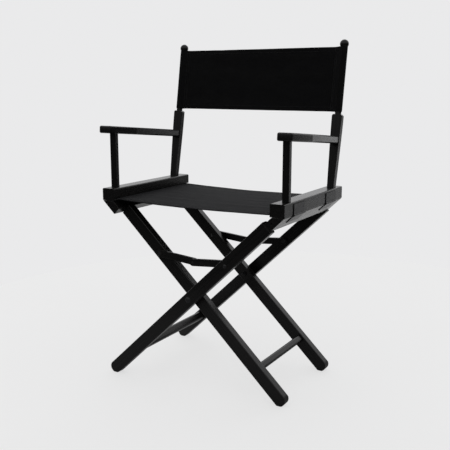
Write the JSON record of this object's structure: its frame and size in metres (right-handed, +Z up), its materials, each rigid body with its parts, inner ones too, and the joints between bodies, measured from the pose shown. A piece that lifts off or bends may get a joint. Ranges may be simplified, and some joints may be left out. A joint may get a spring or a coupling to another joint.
{
  "type": "folding director chair",
  "caption": "Folding wooden armchair with crossed legs, hinged side frames, folding braces, a canvas sling seat and a canvas back between turned posts.",
  "frame": {"origin": "on the floor, under the middle of the open chair's bounding box", "axes": "+X to the sitter's left-hand armrest seen from the front as right, +Y from the front to the back, +Z up"},
  "size_m": [0.549, 0.3788, 0.8716],
  "materials": {
    "black_lacquered_wood": "satin black lacquer",
    "rod_wood": "plain dowel",
    "black_steel": "satin black",
    "seat_canvas": "matt black plain-weave cotton canvas",
    "back_canvas": "matt black plain-weave cotton canvas"
  },
  "bodies": {
    "inner_frame": {"pivot_bolt_front": "black_steel", "pivot_bolt_rear": "black_steel", "pivot_spacer_front": "black_steel", "pivot_spacer_rear": "black_steel", "pivot_washers": "black_steel", "pivot_nuts": "black_steel", "leg_inner_front": "black_lacquered_wood", "leg_inner_rear": "black_lacquered_wood", "lower_rail_left": "black_lacquered_wood", "foot_stretcher_right": "black_lacquered_wood", "brace_rivets_inner": "black_steel", "hinge_front_left_lower": "black_steel", "hinge_rear_left_lower": "black_steel", "hinge_screws_left_lower": "black_steel"},
    "outer_frame": {"leg_outer_front": "black_lacquered_wood", "leg_outer_rear": "black_lacquered_wood", "lower_rail_right": "black_lacquered_wood", "foot_stretcher_left": "black_lacquered_wood", "brace_rivets_outer": "black_steel", "hinge_front_right_lower": "black_steel", "hinge_rear_right_lower": "black_steel", "hinge_screws_right_lower": "black_steel"},
    "left_side": {"seat_rail_left": "black_lacquered_wood", "front_post_left": "black_lacquered_wood", "back_post_left": "black_lacquered_wood", "armrest_left": "black_lacquered_wood", "arm_screw_left": "black_steel", "hinge_front_left_upper": "black_steel", "hinge_rear_left_upper": "black_steel", "hinge_pins_left": "black_steel", "hinge_screws_left_upper": "black_steel", "seat_rod_left": "rod_wood", "seat_hem_left": "seat_canvas", "back_sleeve_left": "back_canvas", "seat_panel": "seat_canvas", "back_panel": "back_canvas"},
    "right_side": {"seat_rail_right": "black_lacquered_wood", "front_post_right": "black_lacquered_wood", "back_post_right": "black_lacquered_wood", "armrest_right": "black_lacquered_wood", "arm_screw_right": "black_steel", "hinge_front_right_upper": "black_steel", "hinge_rear_right_upper": "black_steel", "hinge_pins_right": "black_steel", "hinge_screws_right_upper": "black_steel", "seat_rod_right": "rod_wood", "seat_hem_right": "seat_canvas", "back_sleeve_right": "back_canvas"},
    "front_inner_link": {"brace_link_front_inner": "black_lacquered_wood", "middle_rivet_front_inner": "black_steel"},
    "front_outer_link": {"brace_link_front_outer": "black_lacquered_wood", "middle_rivet_front_outer": "black_steel"},
    "rear_inner_link": {"brace_link_rear_inner": "black_lacquered_wood", "middle_rivet_rear_inner": "black_steel"},
    "rear_outer_link": {"brace_link_rear_outer": "black_lacquered_wood", "middle_rivet_rear_outer": "black_steel"}
  },
  "joints": [
    {"name": "fold", "type": "hinge", "parent": "inner_frame", "child": "outer_frame", "pos_m": [0, 0, 0.238], "axis": [0, -1, 0], "range_deg": [0, 82.74], "deforming": ["seat_panel", "back_panel"]},
    {"name": "rail_hinge_left", "type": "hinge", "parent": "inner_frame", "child": "left_side", "pos_m": [-0.259, 0, 0.467], "axis": [0, -1, 0], "range_deg": [0, 41.37]},
    {"name": "rail_hinge_right", "type": "hinge", "parent": "outer_frame", "child": "right_side", "pos_m": [0.259, 0, 0.467], "axis": [0, 1, 0], "range_deg": [0, 41.37]},
    {"name": "brace_front_inner", "type": "hinge", "parent": "inner_frame", "child": "front_inner_link", "pos_m": [-0.10508, 0, 0.33791], "axis": [0, 1, 0], "range_deg": [0, 36.8]},
    {"name": "brace_front_outer", "type": "hinge", "parent": "outer_frame", "child": "front_outer_link", "pos_m": [0.10508, 0, 0.33791], "axis": [0, -1, 0], "range_deg": [0, 36.8]},
    {"name": "brace_rear_inner", "type": "hinge", "parent": "inner_frame", "child": "rear_inner_link", "pos_m": [-0.10508, 0, 0.33791], "axis": [0, 1, 0], "range_deg": [0, 36.8]},
    {"name": "brace_rear_outer", "type": "hinge", "parent": "outer_frame", "child": "rear_outer_link", "pos_m": [0.10508, 0, 0.33791], "axis": [0, -1, 0], "range_deg": [0, 36.8]}
  ],
  "couplings": [
    {"joint": "rail_hinge_left", "follows": "fold", "ratio": 0.5},
    {"joint": "rail_hinge_right", "follows": "fold", "ratio": 0.5},
    {"joint": "brace_front_inner", "follows": "fold", "ratio": 0.44412},
    {"joint": "brace_front_outer", "follows": "fold", "ratio": 0.44412},
    {"joint": "brace_rear_inner", "follows": "fold", "ratio": 0.44412},
    {"joint": "brace_rear_outer", "follows": "fold", "ratio": 0.44412}
  ]
}
